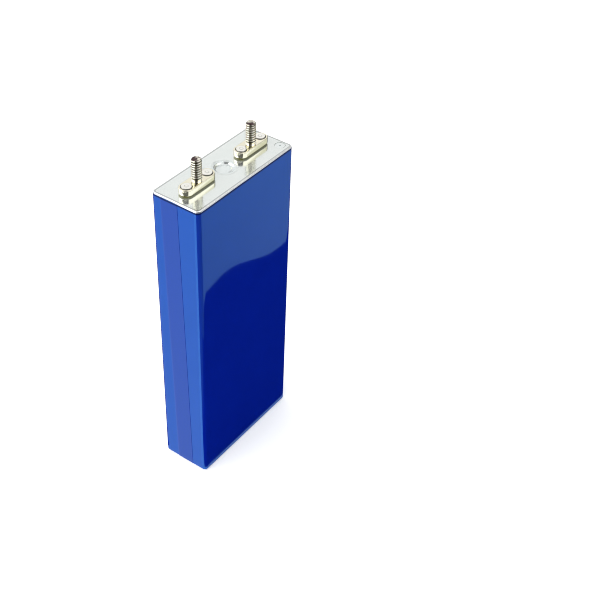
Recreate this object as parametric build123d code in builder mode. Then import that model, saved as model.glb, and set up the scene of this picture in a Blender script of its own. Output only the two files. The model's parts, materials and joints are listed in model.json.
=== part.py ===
from build123d import *
import os

# A prismatic lithium cell, in millimetres. The cell stands on its base, centred on the origin:
# +X runs along the wide side, +Y through the thickness, +Z up towards the two threaded studs.

# --- Driving dimensions ---

# Whole cell, over the blue film and up to the lid
body_width = 70.0
body_thickness = 27.0
body_height = 166.0
corner_radius = 2.2

# Film wrapped round the can, with its overlap on the narrow side, and the pad under the base
film = 0.12
rim_bare = 0.9
seam_back_top = 7.5
seam_front_top = -1.5
seam_shift_at_base = -3.5
pad_thickness = 0.2
pad_inset = 2.0
pad_corner = 2.0

# Deep-drawn aluminium can
can_wall = 0.8
can_base = 1.0
can_base_radius = 1.2
can_floor_radius = 0.5

# Lid, flush with the can's rim
lid_thickness = 2.0

# Terminals: a long plate on a gasket, two rivets and a headed M5 stud in each
stud_spacing = 39.0
plate_length = 21.6
plate_width = 7.2
plate_thickness = 2.8
plate_edge = 0.3
gasket_thickness = 0.8
gasket_inset = 0.3
stud_radius = 2.5
stud_height = 14.6
stud_shoulder_radius = 2.7
stud_neck_radius = 2.1
stud_neck_height = 0.9
stud_tip_round = 0.8
stud_head_radius = 3.1
stud_head_thickness = 0.95
stud_head_edge = 0.15
rivet_spacing = 14.2
rivet_radius = 1.9
rivet_head_radius = 2.6
rivet_head_height = 0.4
rivet_head_edge = 0.22
rivet_dimple_radius = 0.7
rivet_dimple_depth = 0.15
rivet_foot_radius = 3.0
rivet_foot_thickness = 0.7
seal_radius = 2.9
slip = 0.02

# Under the lid: insulators, current collectors and the guard below the vent
insulator_thickness = 1.2
insulator_length = 26.4
insulator_width = 24.2
insulator_corner = 1.5
collector_thickness = 1.2
collector_length = 20.4
collector_width = 18.0
collector_corner = 1.0
guard_length = 12.6
guard_slot_length = 14.0
guard_slot_width = 1.4
guard_slot_pitch = 3.0
guard_slot_count = 3

# Pressure vent in the middle of the lid
vent_radius = 5.6
vent_hole_radius = 4.6
vent_depth = 0.8
vent_rim_height = 0.75
vent_rim_width = 0.35
vent_dish_radius = 3.9
vent_dish_drop = 0.35
vent_membrane = 0.25
vent_bead_radius = 2.9
vent_bead_width = 0.7
vent_bead_height = 0.25
vent_score_radius = 3.55
vent_score_width = 0.25
vent_score_depth = 0.12
vent_score_gap_angle = 60
vent_film_radius = 6.4
vent_film_thickness = 0.1

# Filling port near one corner of the lid
fill_x = 31.0
fill_y = -8.5
fill_hole_radius = 0.9
fill_seat_radius = 2.6
fill_seat_depth = 0.8
fill_cap_thickness = 0.7
fill_cap_dot_radius = 0.4
fill_cap_dot_depth = 0.4
fill_plug_height = 1.1
fill_passage_radius = 1.3

# Wound electrode rolls, two of them side by side in one insulating bag
spacer_thickness = 0.5
spacer_inset = 1.5
bag_film = 0.1
bag_clearance = 0.05
bag_top = 160.0
roll_half_thickness = 6.1
roll_half_width = 33.7
roll_parting = 0.2
roll_bottom = 2.0
roll_top = 154.5
mandrel_half_gap = 0.4
turns = 9
separator = 0.04
cathode_sheet = 0.28
sheet_play = 0.006
electrode_overhang = 0.5
tape_film = 0.05
tape_width = 15.0
tape_heights = (40.0, 110.0)

# Foil tabs from each roll up to the collectors
tab_width = 16.0
tab_thickness = 0.6
tab_root_width = 6.0
tab_gather_height = 2.8
tab_rise = 1.6
tab_fold_reach = 4.2
tab_fold_drop = 2.1
tab_weld_from = 4.2
tab_bend_radius = 0.7

# --- Heights and sizes that follow ---

film_bottom = pad_thickness
can_bottom = film_bottom + film
can_floor = can_bottom + can_base
can_width = body_width - 2 * film
can_thickness = body_thickness - 2 * film
can_corner = corner_radius - film
cavity_width = can_width - 2 * can_wall
cavity_thickness = can_thickness - 2 * can_wall
cavity_corner = can_corner - can_wall

lid_bottom = body_height - lid_thickness
plate_bottom = body_height + gasket_thickness
plate_top = plate_bottom + plate_thickness
stud_top = body_height + stud_height
insulator_bottom = lid_bottom - insulator_thickness
collector_bottom = insulator_bottom - collector_thickness
rivet_foot_bottom = collector_bottom - rivet_foot_thickness
vent_seat = body_height - vent_depth
fill_seat = body_height - fill_seat_depth

stud_x = stud_spacing / 2
terminals = {"negative": -stud_x, "positive": stud_x}

roll_center = roll_half_thickness + roll_parting / 2
rolls = {"front": -roll_center, "rear": roll_center}
roll_flat = roll_half_width - roll_half_thickness
# The last turn ends a quarter pitch short of a full one on the far side
turn_pitch = (roll_half_thickness - mandrel_half_gap) / (turns + 0.25)
anode_sheet = turn_pitch - cathode_sheet - 2 * separator - 4 * sheet_play


def rounded_block(width, depth, corner, bottom, top):
    """Upright block with rounded vertical edges, centred on the cell."""
    with BuildPart() as block:
        with BuildSketch(Plane.XY.offset(bottom)):
            RectangleRounded(width, depth, corner)
        extrude(amount=top - bottom)
    return block.part


# --- Can, lid and wrapping ---

with BuildPart() as can_blank:
    add(rounded_block(can_width, can_thickness, can_corner, can_bottom, body_height))
    fillet(can_blank.faces().sort_by(Axis.Z)[0].edges(), can_base_radius)

with BuildPart() as case_can:
    add(can_blank.part)
    with BuildSketch(Plane.XY.offset(can_floor)):
        RectangleRounded(cavity_width, cavity_thickness, cavity_corner)
    extrude(amount=body_height - can_floor, mode=Mode.SUBTRACT)
    floor_face = case_can.faces().filter_by(Axis.Z).sort_by(Axis.Z)[1]
    fillet(floor_face.edges(), can_floor_radius)

with BuildPart() as lid_plate:
    with BuildSketch(Plane.XY.offset(lid_bottom)):
        RectangleRounded(cavity_width, cavity_thickness, cavity_corner)
        with Locations((-stud_x, 0), (stud_x, 0)):
            with GridLocations(rivet_spacing, 0, 2, 1):
                Circle(seal_radius, mode=Mode.SUBTRACT)
        Circle(vent_hole_radius, mode=Mode.SUBTRACT)
        with Locations((fill_x, fill_y)):
            Circle(fill_hole_radius, mode=Mode.SUBTRACT)
    extrude(amount=lid_thickness)
    with BuildSketch(Plane.XY.offset(vent_seat)):
        Circle(vent_radius)
    extrude(amount=vent_depth, mode=Mode.SUBTRACT)
    with BuildSketch(Plane.XY.offset(fill_seat)):
        with Locations((fill_x, fill_y)):
            Circle(fill_seat_radius)
    extrude(amount=fill_seat_depth, mode=Mode.SUBTRACT)

with BuildPart() as film_wrap:
    film_top = body_height - rim_bare
    add(rounded_block(body_width, body_thickness, corner_radius, film_bottom, film_top))
    fillet(film_wrap.faces().sort_by(Axis.Z)[0].edges(), can_base_radius + film)
    add(can_blank.part, mode=Mode.SUBTRACT)
    # The film's two edges overlap on the narrow side, and the wrap runs slightly askew
    with BuildSketch(Plane.YZ.offset(-body_width / 2)):
        with BuildLine():
            seam_foot = film_bottom + can_base_radius + film
            Polyline(
                (seam_front_top, film_top),
                (seam_back_top, film_top),
                (seam_back_top + seam_shift_at_base, seam_foot),
                (seam_front_top + seam_shift_at_base, seam_foot),
                close=True,
            )
        make_face()
    extrude(amount=-film)

with BuildPart() as base_pad:
    with BuildSketch(Plane.XY):
        RectangleRounded(body_width - 2 * pad_inset, body_thickness - 2 * pad_inset, pad_corner)
    extrude(amount=pad_thickness)

# --- Vent and filling port ---

with BuildPart() as vent_disc:
    # A flat weld rim, a sloping wall and a dish floor that hangs into the lid's hole
    rim_outside = vent_radius - slip
    rim_inside = rim_outside - vent_rim_width
    wall_foot = vent_hole_radius - 2 * slip
    dish_bottom = vent_seat - vent_dish_drop
    membrane_top = dish_bottom + vent_membrane
    with BuildSketch(Plane.XZ):
        with BuildLine():
            Polyline(
                (0, dish_bottom),
                (vent_dish_radius, dish_bottom),
                (wall_foot, vent_seat),
                (rim_outside, vent_seat),
                (rim_outside, vent_seat + vent_rim_height),
                (rim_inside, vent_seat + vent_rim_height),
                (vent_dish_radius, membrane_top),
                (0, membrane_top),
                close=True,
            )
        make_face()
    revolve(axis=Axis.Z)
    with BuildSketch(Plane.XY.offset(membrane_top)):
        Circle(vent_bead_radius + vent_bead_width / 2)
        Circle(vent_bead_radius - vent_bead_width / 2, mode=Mode.SUBTRACT)
    extrude(amount=vent_bead_height)
    # The score is an open ring, so the burst flap stays hinged to the disc
    with BuildSketch(Plane.XY.offset(membrane_top)):
        with BuildLine():
            CenterArc((0, 0), vent_score_radius, vent_score_gap_angle / 2, 360 - vent_score_gap_angle)
        trace(line_width=vent_score_width)
    extrude(amount=-vent_score_depth, mode=Mode.SUBTRACT)

with BuildPart() as vent_cover_film:
    with BuildSketch(Plane.XY.offset(body_height)):
        Circle(vent_film_radius)
    extrude(amount=vent_film_thickness)

with BuildPart() as vent_guard:
    with BuildSketch(Plane.XY.offset(insulator_bottom)):
        RectangleRounded(guard_length, insulator_width, insulator_corner)
        with GridLocations(guard_slot_pitch, 0, guard_slot_count, 1):
            SlotOverall(guard_slot_length, guard_slot_width, rotation=90, mode=Mode.SUBTRACT)
    extrude(amount=insulator_thickness)

with BuildPart() as fill_plug:
    with BuildSketch(Plane.XY.offset(fill_seat)):
        with Locations((fill_x, fill_y)):
            Circle(fill_hole_radius - slip)
    extrude(amount=-fill_plug_height)

with BuildPart() as fill_cap:
    with BuildSketch(Plane.XY.offset(fill_seat)):
        with Locations((fill_x, fill_y)):
            Circle(fill_seat_radius - slip)
    extrude(amount=fill_cap_thickness)
    with BuildSketch(Plane.XY.offset(fill_seat + fill_cap_thickness)):
        with Locations((fill_x, fill_y)):
            Circle(fill_cap_dot_radius)
    extrude(amount=-fill_cap_dot_depth, mode=Mode.SUBTRACT)

# --- Terminals ---


def terminal_plate(x):
    """Long plate with round ends, bored for two rivets and the stud, whose head it traps."""
    with BuildPart() as plate:
        with BuildSketch(Plane((x, 0, plate_bottom))):
            SlotOverall(plate_length, plate_width)
        extrude(amount=plate_thickness)
        chamfer(plate.faces().sort_by(Axis.Z)[-1].edges(), plate_edge)
        with BuildSketch(Plane((x, 0, plate_bottom))):
            Circle(stud_shoulder_radius + slip)
            with GridLocations(rivet_spacing, 0, 2, 1):
                Circle(rivet_radius + slip)
        extrude(amount=plate_thickness, mode=Mode.SUBTRACT)
        with BuildSketch(Plane((x, 0, plate_bottom))):
            Circle(stud_head_radius + slip)
        extrude(amount=stud_head_thickness + slip, mode=Mode.SUBTRACT)
    return plate.part


def outer_gasket(x):
    """Plastic plate between the terminal plate and the lid, set back a little all round."""
    with BuildPart() as gasket:
        with BuildSketch(Plane((x, 0, body_height))):
            SlotOverall(plate_length - 2 * gasket_inset, plate_width - 2 * gasket_inset)
            with GridLocations(rivet_spacing, 0, 2, 1):
                Circle(rivet_radius + slip, mode=Mode.SUBTRACT)
        extrude(amount=gasket_thickness)
    return gasket.part


def stud(x):
    """Stud with its head under the plate, a shoulder pressed into it and the M5 end standing clear."""
    neck_top = plate_top + stud_neck_height
    head_top = plate_bottom + stud_head_thickness
    tip_radius = stud_radius - stud_tip_round
    with BuildPart() as pin:
        with BuildSketch(Plane.XZ.move(Location((x, 0, 0)))):
            with BuildLine():
                Polyline(
                    (0, plate_bottom),
                    (stud_head_radius, plate_bottom),
                    (stud_head_radius, head_top - stud_head_edge),
                    (stud_head_radius - stud_head_edge, head_top),
                    (stud_shoulder_radius, head_top),
                    (stud_shoulder_radius, plate_top),
                    (stud_neck_radius, plate_top),
                    (stud_neck_radius, neck_top),
                    (stud_radius, neck_top),
                    (stud_radius, stud_top - stud_tip_round),
                )
                RadiusArc((stud_radius, stud_top - stud_tip_round), (tip_radius, stud_top), stud_tip_round)
                Polyline(
                    (tip_radius, stud_top),
                    (0, stud_top),
                    (0, plate_bottom),
                )
            make_face()
        revolve(axis=Axis((x, 0, 0), (0, 0, 1)))
    return pin.part


def rivet_pair(x):
    """Two rivets that clamp plate, gasket, lid, insulator and collector together."""
    head_top = plate_top + rivet_head_height
    head_edge = rivet_head_radius - rivet_head_edge
    dimple_floor = head_top - rivet_dimple_depth
    with BuildPart() as pair:
        for side in (-1, 1):
            rivet_x = x + side * rivet_spacing / 2
            with BuildSketch(Plane.XZ.move(Location((rivet_x, 0, 0)))):
                with BuildLine():
                    Polyline(
                        (0, dimple_floor),
                        (0, rivet_foot_bottom),
                        (rivet_foot_radius, rivet_foot_bottom),
                        (rivet_foot_radius, collector_bottom),
                        (rivet_radius, collector_bottom),
                        (rivet_radius, plate_top),
                        (rivet_head_radius, plate_top),
                        (rivet_head_radius, head_top - rivet_head_edge),
                    )
                    RadiusArc(
                        (rivet_head_radius, head_top - rivet_head_edge),
                        (head_edge, head_top),
                        rivet_head_edge,
                    )
                    Polyline(
                        (head_edge, head_top),
                        (rivet_dimple_radius, head_top),
                        (0, dimple_floor),
                    )
                make_face()
            revolve(axis=Axis((rivet_x, 0, 0), (0, 0, 1)))
    return pair.part


def rivet_seals(x):
    """Two sealing sleeves, one round each rivet where it passes through the lid."""
    with BuildPart() as seals:
        with BuildSketch(Plane((x, 0, lid_bottom))):
            with GridLocations(rivet_spacing, 0, 2, 1):
                Circle(seal_radius - slip)
                Circle(rivet_radius + slip, mode=Mode.SUBTRACT)
        extrude(amount=lid_thickness)
    return seals.part


def inner_insulator(x):
    """Plastic plate that keeps the collector off the lid's underside."""
    with BuildPart() as insulator:
        with BuildSketch(Plane((x, 0, insulator_bottom))):
            RectangleRounded(insulator_length, insulator_width, insulator_corner)
            with GridLocations(rivet_spacing, 0, 2, 1):
                Circle(rivet_radius + slip, mode=Mode.SUBTRACT)
            with Locations((fill_x - x, fill_y)):
                Circle(fill_passage_radius, mode=Mode.SUBTRACT)
        extrude(amount=insulator_thickness)
    return insulator.part


def collector(x):
    """Metal plate that joins the foil tabs of both rolls to the two rivets."""
    with BuildPart() as plate:
        with BuildSketch(Plane((x, 0, collector_bottom))):
            RectangleRounded(collector_length, collector_width, collector_corner)
            with GridLocations(rivet_spacing, 0, 2, 1):
                Circle(rivet_radius + slip, mode=Mode.SUBTRACT)
        extrude(amount=collector_thickness)
    return plate.part


# --- Wound rolls and what holds them ---


def spiral(start):
    """Flattened spiral of straight runs and half circles, start being its first half height."""
    for turn in range(turns):
        upper = start + turn * turn_pitch
        lower = upper + turn_pitch / 2
        Line((-roll_flat, upper), (roll_flat, upper))
        ThreePointArc(
            (roll_flat, upper),
            (roll_flat + (upper + lower) / 2, (upper - lower) / 2),
            (roll_flat, -lower),
        )
        Line((roll_flat, -lower), (-roll_flat, -lower))
        if turn < turns - 1:
            next_upper = upper + turn_pitch
            ThreePointArc(
                (-roll_flat, -lower),
                (-roll_flat - (next_upper + lower) / 2, (next_upper - lower) / 2),
                (-roll_flat, next_upper),
            )
    return Vector(-roll_flat, -lower)


def wound_sheet(y, offset, thickness, trim):
    """One sheet of a roll: the space between two parallel flattened spirals."""
    start = mandrel_half_gap + offset
    with BuildPart() as sheet:
        with BuildSketch(Plane((0, y + turn_pitch / 4, roll_bottom + trim))):
            with BuildLine():
                inner_end = spiral(start)
                outer_end = spiral(start + thickness)
                Line((-roll_flat, start), (-roll_flat, start + thickness))
                Line(inner_end, outer_end)
            make_face()
        extrude(amount=roll_top - roll_bottom - 2 * trim)
    return sheet.part


def foil_tabs(x, y):
    """Foil tabs of one polarity, gathered above the roll and folded flat under the collector."""
    outward = 1 if y > 0 else -1
    gathered = roll_top + tab_gather_height
    weld_height = collector_bottom - tab_thickness / 2
    fold_y = y + outward * tab_fold_reach
    with BuildPart() as tabs:
        with BuildSketch(Plane.YZ.offset(x - tab_width / 2)):
            with BuildLine():
                Polyline(
                    (y - tab_root_width / 2, roll_top),
                    (y + tab_root_width / 2, roll_top),
                    (y + tab_thickness / 2, gathered),
                    (y - tab_thickness / 2, gathered),
                    close=True,
                )
            make_face()
            with BuildLine():
                FilletPolyline(
                    (y, gathered - tab_thickness),
                    (y, gathered + tab_rise / 2),
                    (fold_y, weld_height - tab_fold_drop),
                    (fold_y, weld_height),
                    (outward * tab_weld_from, weld_height),
                    radius=tab_bend_radius,
                )
            trace(line_width=tab_thickness)
        extrude(amount=tab_width)
    return tabs.part


with BuildPart() as bottom_spacer:
    with BuildSketch(Plane.XY.offset(can_floor)):
        RectangleRounded(
            cavity_width - 2 * spacer_inset, cavity_thickness - 2 * spacer_inset, cavity_corner
        )
    extrude(amount=spacer_thickness)

with BuildPart() as roll_bag:
    bag_bottom = can_floor + spacer_thickness
    bag_width = cavity_width - 2 * bag_clearance
    bag_thickness = cavity_thickness - 2 * bag_clearance
    add(rounded_block(bag_width, bag_thickness, cavity_corner, bag_bottom, bag_top))
    add(
        rounded_block(
            bag_width - 2 * bag_film,
            bag_thickness - 2 * bag_film,
            cavity_corner - bag_film,
            bag_bottom + bag_film,
            bag_top,
        ),
        mode=Mode.SUBTRACT,
    )

with BuildPart() as roll_tapes:
    pair_width = 2 * roll_half_width
    pair_thickness = 4 * roll_half_thickness + roll_parting
    for height in tape_heights:
        with BuildSketch(Plane.XY.offset(height)):
            RectangleRounded(
                pair_width + 2 * tape_film, pair_thickness + 2 * tape_film, roll_half_thickness + tape_film
            )
            RectangleRounded(pair_width, pair_thickness, roll_half_thickness, mode=Mode.SUBTRACT)
        extrude(amount=tape_width)

# --- Every piece by name ---

pieces = {
    "case_can": case_can.part,
    "lid_plate": lid_plate.part,
    "film_wrap": film_wrap.part,
    "base_pad": base_pad.part,
    "vent_disc": vent_disc.part,
    "vent_cover_film": vent_cover_film.part,
    "vent_guard": vent_guard.part,
    "fill_plug": fill_plug.part,
    "fill_cap": fill_cap.part,
    "bottom_spacer": bottom_spacer.part,
    "roll_bag": roll_bag.part,
    "roll_tapes": roll_tapes.part,
}
for pole, x in terminals.items():
    pieces[f"{pole}_terminal_plate"] = terminal_plate(x)
    pieces[f"{pole}_outer_gasket"] = outer_gasket(x)
    pieces[f"{pole}_stud"] = stud(x)
    pieces[f"{pole}_rivets"] = rivet_pair(x)
    pieces[f"{pole}_rivet_seals"] = rivet_seals(x)
    pieces[f"{pole}_inner_insulator"] = inner_insulator(x)
    pieces[f"{pole}_collector"] = collector(x)
    for place, y in rolls.items():
        pieces[f"{place}_roll_{pole}_tabs"] = foil_tabs(x, y)

# Sheets of a roll from the inside of each turn out: cathode, separator, anode, separator
inner_separator_offset = cathode_sheet + sheet_play
anode_offset = inner_separator_offset + separator + sheet_play
outer_separator_offset = anode_offset + anode_sheet + sheet_play
for place, y in rolls.items():
    pieces[f"{place}_roll_cathode"] = wound_sheet(y, 0, cathode_sheet, 2 * electrode_overhang)
    pieces[f"{place}_roll_inner_separator"] = wound_sheet(y, inner_separator_offset, separator, 0)
    pieces[f"{place}_roll_anode"] = wound_sheet(y, anode_offset, anode_sheet, electrode_overhang)
    pieces[f"{place}_roll_outer_separator"] = wound_sheet(y, outer_separator_offset, separator, 0)

os.makedirs("parts", exist_ok=True)
for name, piece in pieces.items():
    piece.label = name
    export_step(piece, f"parts/{name}.step")
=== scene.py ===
import json
import math

import bmesh
import bpy
from mathutils import Matrix, Vector


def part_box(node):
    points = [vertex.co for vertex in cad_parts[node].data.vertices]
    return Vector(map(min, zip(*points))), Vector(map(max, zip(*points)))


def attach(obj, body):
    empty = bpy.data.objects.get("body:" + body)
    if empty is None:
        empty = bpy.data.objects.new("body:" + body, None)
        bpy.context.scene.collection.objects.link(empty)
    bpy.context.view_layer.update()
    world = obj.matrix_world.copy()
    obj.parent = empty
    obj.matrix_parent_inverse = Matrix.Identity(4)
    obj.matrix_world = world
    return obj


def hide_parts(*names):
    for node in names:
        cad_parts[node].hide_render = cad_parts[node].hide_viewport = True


# A prismatic battery cell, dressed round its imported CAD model. Sizes in this script are in
# millimetres, and box_of() and add_mesh() turn them from and into the frame's metres.
# Lists called rows go round a closed outline: each row is (inset, height) from that outline.

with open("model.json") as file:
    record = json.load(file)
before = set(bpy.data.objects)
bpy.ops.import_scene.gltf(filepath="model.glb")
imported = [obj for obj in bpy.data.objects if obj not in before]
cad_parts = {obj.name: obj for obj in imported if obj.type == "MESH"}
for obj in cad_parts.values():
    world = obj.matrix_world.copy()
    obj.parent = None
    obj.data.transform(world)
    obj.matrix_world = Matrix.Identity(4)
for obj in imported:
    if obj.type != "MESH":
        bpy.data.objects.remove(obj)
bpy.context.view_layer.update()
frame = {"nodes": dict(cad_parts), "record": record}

MM = 0.001
POLES = ("negative", "positive")


def box_of(node):
    """Lowest and highest corner of a CAD node, in millimetres."""
    low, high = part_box(node)
    return low / MM, high / MM


# --- Places and sizes read from the frame ---

film_low, film_high = box_of("film_wrap")
can_low, can_high = box_of("case_can")
lid_high = box_of("lid_plate")[1]
pad_low, pad_high = box_of("base_pad")
vent_low, vent_high = box_of("vent_disc")
cap_low, cap_high = box_of("fill_cap")

HALF_X = film_high.x
HALF_Y = film_high.y
LID_TOP = lid_high.z
FILM = film_high.x - can_high.x
CORNER = 2.2

# --- Mesh helpers ---


def add_mesh(name, vertices, faces, sharp_angle=35.0):
    """New smooth-shaded object from millimetre vertices, creased where it turns sharply."""
    mesh = bpy.data.meshes.new(name)
    mesh.from_pydata([Vector(v) * MM for v in vertices], [], faces)
    work = bmesh.new()
    work.from_mesh(mesh)
    bmesh.ops.recalc_face_normals(work, faces=work.faces)
    work.to_mesh(mesh)
    work.free()
    mesh.shade_smooth()
    mesh.set_sharp_from_angle(angle=math.radians(sharp_angle))
    made = bpy.data.objects.new(name, mesh)
    bpy.context.scene.collection.objects.link(made)
    return made


def finish_piece(piece, slot, *replaced):
    """The piece rides with the cell, takes a slot's material and stands for the CAD nodes named."""
    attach(piece, "root")
    if replaced:
        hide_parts(*replaced)
    piece.data.materials.append(finishes[slot])
    return piece


def store(piece, name, values):
    """One value for each of the piece's points, which its material reads."""
    piece.data.attributes.new(name, "FLOAT", "POINT").data.foreach_set("value", values)


def stacked_loops(loops):
    """Faces that join closed loops of equal length one above another and cap both ends."""
    count = len(loops[0])
    vertices = [point for loop in loops for point in loop]
    faces = []
    for level in range(len(loops) - 1):
        for i in range(count):
            j = (i + 1) % count
            low = level * count
            faces.append((low + i, low + j, low + count + j, low + count + i))
    last = (len(loops) - 1) * count
    faces.append(tuple(range(count - 1, -1, -1)))
    faces.append(tuple(range(last, last + count)))
    return vertices, faces


def corner_outline(half_x, half_y, radius, step=2.0, corner_steps=8):
    """Closed rounded rectangle, anticlockwise, as (x, y, outward x, outward y)."""
    points = []
    corners = ((1, -1, -90), (1, 1, 0), (-1, 1, 90), (-1, -1, 180))
    for side_x, side_y, start in corners:
        centre = Vector((side_x * (half_x - radius), side_y * (half_y - radius)))
        for k in range(corner_steps + 1):
            turn = math.radians(start + 90 * k / corner_steps)
            out = Vector((math.cos(turn), math.sin(turn)))
            spot = centre + radius * out
            points.append((spot.x, spot.y, out.x, out.y))
    return with_straight_steps(points, step)


def with_straight_steps(points, step):
    """The same outline, with its straight sides divided into steps."""
    full = []
    for here, after in zip(points, points[1:] + points[:1]):
        full.append(here)
        gap = math.hypot(after[0] - here[0], after[1] - here[1])
        same_way = abs(here[2] - after[2]) + abs(here[3] - after[3]) < 1e-6
        pieces = max(1, round(gap / step)) if same_way else 1
        for k in range(1, pieces):
            t = k / pieces
            full.append((
                here[0] + (after[0] - here[0]) * t,
                here[1] + (after[1] - here[1]) * t,
                here[2],
                here[3],
            ))
    return full


def slot_outline(half_length, half_width, centre_x, arc_steps=24):
    """Closed outline of a plate with round ends, anticlockwise, with outward directions."""
    points = []
    for side, start in ((1, -90), (-1, 90)):
        for k in range(arc_steps + 1):
            turn = math.radians(start + 180 * k / arc_steps)
            out = (math.cos(turn), math.sin(turn))
            x = centre_x + side * (half_length - half_width) + half_width * out[0]
            points.append((x, half_width * out[1], out[0], out[1]))
    return points


def raised(outline, rows):
    """Vertices and faces of a closed solid, each row being (inset, height) on the outline."""
    loops = [[(x - nx * inset, y - ny * inset, z) for x, y, nx, ny in outline] for inset, z in rows]
    return stacked_loops(loops)


def turned(profile, centre, columns=64, shape=None):
    """Vertices and faces of a turned solid, its profile (radius, height) starting and ending off axis."""
    loops = []
    for radius, z in profile:
        loop = []
        for k in range(columns):
            angle = 2 * math.pi * k / columns
            r = shape(radius, z, angle) if shape else radius
            loop.append((centre[0] + r * math.cos(angle), centre[1] + r * math.sin(angle), z))
        loops.append(loop)
    return stacked_loops(loops)


def joined(solids):
    """Several (vertices, faces) as one."""
    vertices, faces = [], []
    for more_vertices, more_faces in solids:
        first = len(vertices)
        vertices += more_vertices
        faces += [tuple(first + i for i in face) for face in more_faces]
    return vertices, faces


def arc(centre, radius, start, end, steps=5):
    """Points (radius or inset, height) along a quarter round or other arc, angles in degrees."""
    return [
        (
            centre[0] + radius * math.cos(math.radians(start + (end - start) * k / steps)),
            centre[1] + radius * math.sin(math.radians(start + (end - start) * k / steps)),
        )
        for k in range(steps + 1)
    ]


def drill(piece, holes):
    """Cuts upright round holes, each (x, y, radius), right through a piece."""
    low = min(v.co.z for v in piece.data.vertices) / MM - 1
    high = max(v.co.z for v in piece.data.vertices) / MM + 1
    drills = joined([turned([(r, low), (r, high)], (x, y), 48) for x, y, r in holes])
    cutter = add_mesh("cutter", *drills)
    cut = piece.modifiers.new("cut", "BOOLEAN")
    cut.object = cutter
    cut.solver = "EXACT"
    scene_graph = bpy.context.evaluated_depsgraph_get()
    drilled = bpy.data.meshes.new_from_object(piece.evaluated_get(scene_graph))
    drilled.set_sharp_from_angle(angle=math.radians(35))
    piece.modifiers.clear()
    piece.data = drilled
    bpy.data.objects.remove(cutter)
    return piece


def spaced(start, end, steps):
    """Evenly spaced values from start to end."""
    return [start + (end - start) * k / steps for k in range(steps + 1)]


def smooth_step(low, high, value):
    """0 below low, 1 above high, and a smooth rise between."""
    t = min(1.0, max(0.0, (value - low) / (high - low)))
    return t * t * (3 - 2 * t)


# --- Material helpers ---


class Finish:
    """One procedural material, built round its Principled shader."""

    def __init__(self, name, **constants):
        self.material = bpy.data.materials.new(name)
        self.material.use_nodes = True
        self.nodes = self.material.node_tree.nodes
        self.links = self.material.node_tree.links
        self.shader = self.nodes["Principled BSDF"]
        for socket, value in constants.items():
            self.shader.inputs[socket.replace("_", " ")].default_value = value
        self.place = self.nodes.new("ShaderNodeTexCoord").outputs["Object"]
        self.bump = None

    def stretched(self, x, y, z):
        """Object coordinates in millimetres, scaled along each axis."""
        scale = self.nodes.new("ShaderNodeVectorMath")
        scale.operation = "MULTIPLY"
        scale.inputs[1].default_value = (x / MM, y / MM, z / MM)
        self.links.new(self.place, scale.inputs[0])
        return scale.outputs[0]

    def noise(self, scale, detail=3.0, stretch=(1, 1, 1), roughness=0.5):
        """Noise with so many cells to a millimetre."""
        made = self.nodes.new("ShaderNodeTexNoise")
        made.inputs["Scale"].default_value = scale
        made.inputs["Detail"].default_value = detail
        made.inputs["Roughness"].default_value = roughness
        self.links.new(self.stretched(*stretch), made.inputs["Vector"])
        return made.outputs["Fac"]

    def cells(self, scale, stretch=(1, 1, 1)):
        """Distance to the nearest cell point, so many cells to a millimetre."""
        made = self.nodes.new("ShaderNodeTexVoronoi")
        made.inputs["Scale"].default_value = scale
        self.links.new(self.stretched(*stretch), made.inputs["Vector"])
        return made.outputs["Distance"]

    def attribute(self, name):
        """A value stored on the mesh's points."""
        made = self.nodes.new("ShaderNodeAttribute")
        made.attribute_name = name
        return made.outputs["Fac"]

    def ranged(self, value, low, high, from_low=0.0, from_high=1.0):
        """A value mapped from one range to another, clamped."""
        made = self.nodes.new("ShaderNodeMapRange")
        made.inputs["From Min"].default_value = from_low
        made.inputs["From Max"].default_value = from_high
        made.inputs["To Min"].default_value = low
        made.inputs["To Max"].default_value = high
        self.links.new(value, made.inputs["Value"])
        return made.outputs["Result"]

    def math(self, operation, a, b):
        """One arithmetic step between two values."""
        made = self.nodes.new("ShaderNodeMath")
        made.operation = operation
        for socket, value in zip(made.inputs, (a, b)):
            if isinstance(value, (int, float)):
                socket.default_value = value
            else:
                self.links.new(value, socket)
        return made.outputs[0]

    def blended(self, factor, first, second):
        """Colour between two, each a colour or another node's output."""
        made = self.nodes.new("ShaderNodeMix")
        made.data_type = "RGBA"
        self.links.new(factor, made.inputs["Factor"])
        for socket, value in zip((made.inputs[6], made.inputs[7]), (first, second)):
            if isinstance(value, tuple):
                socket.default_value = (*value, 1)
            else:
                self.links.new(value, socket)
        return made.outputs[2]

    def feed(self, socket, value):
        """Drives one of the shader's inputs."""
        self.links.new(value, self.shader.inputs[socket])

    def add_mirror(self, share, colour, rough):
        """Mixes in a tinted metallic sheen for a share of the surface's light."""
        sheen = self.nodes.new("ShaderNodeBsdfPrincipled")
        sheen.inputs["Metallic"].default_value = 1.0
        self.links.new(colour, sheen.inputs["Base Color"])
        self.links.new(rough, sheen.inputs["Roughness"])
        self.links.new(self.bump, sheen.inputs["Normal"])
        mixed = self.nodes.new("ShaderNodeMixShader")
        mixed.inputs[0].default_value = share
        self.links.new(self.shader.outputs[0], mixed.inputs[1])
        self.links.new(sheen.outputs[0], mixed.inputs[2])
        self.links.new(mixed.outputs[0], self.nodes["Material Output"].inputs["Surface"])

    def relief(self, height, depth, strength=1.0):
        """Bump of so many millimetres, on top of any before it."""
        made = self.nodes.new("ShaderNodeBump")
        made.inputs["Strength"].default_value = strength
        made.inputs["Distance"].default_value = depth * MM
        self.links.new(height, made.inputs["Height"])
        if self.bump:
            self.links.new(self.bump, made.inputs["Normal"])
        self.bump = made.outputs["Normal"]
        self.feed("Normal", self.bump)


# --- Materials, one function for each slot of the record ---


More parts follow.
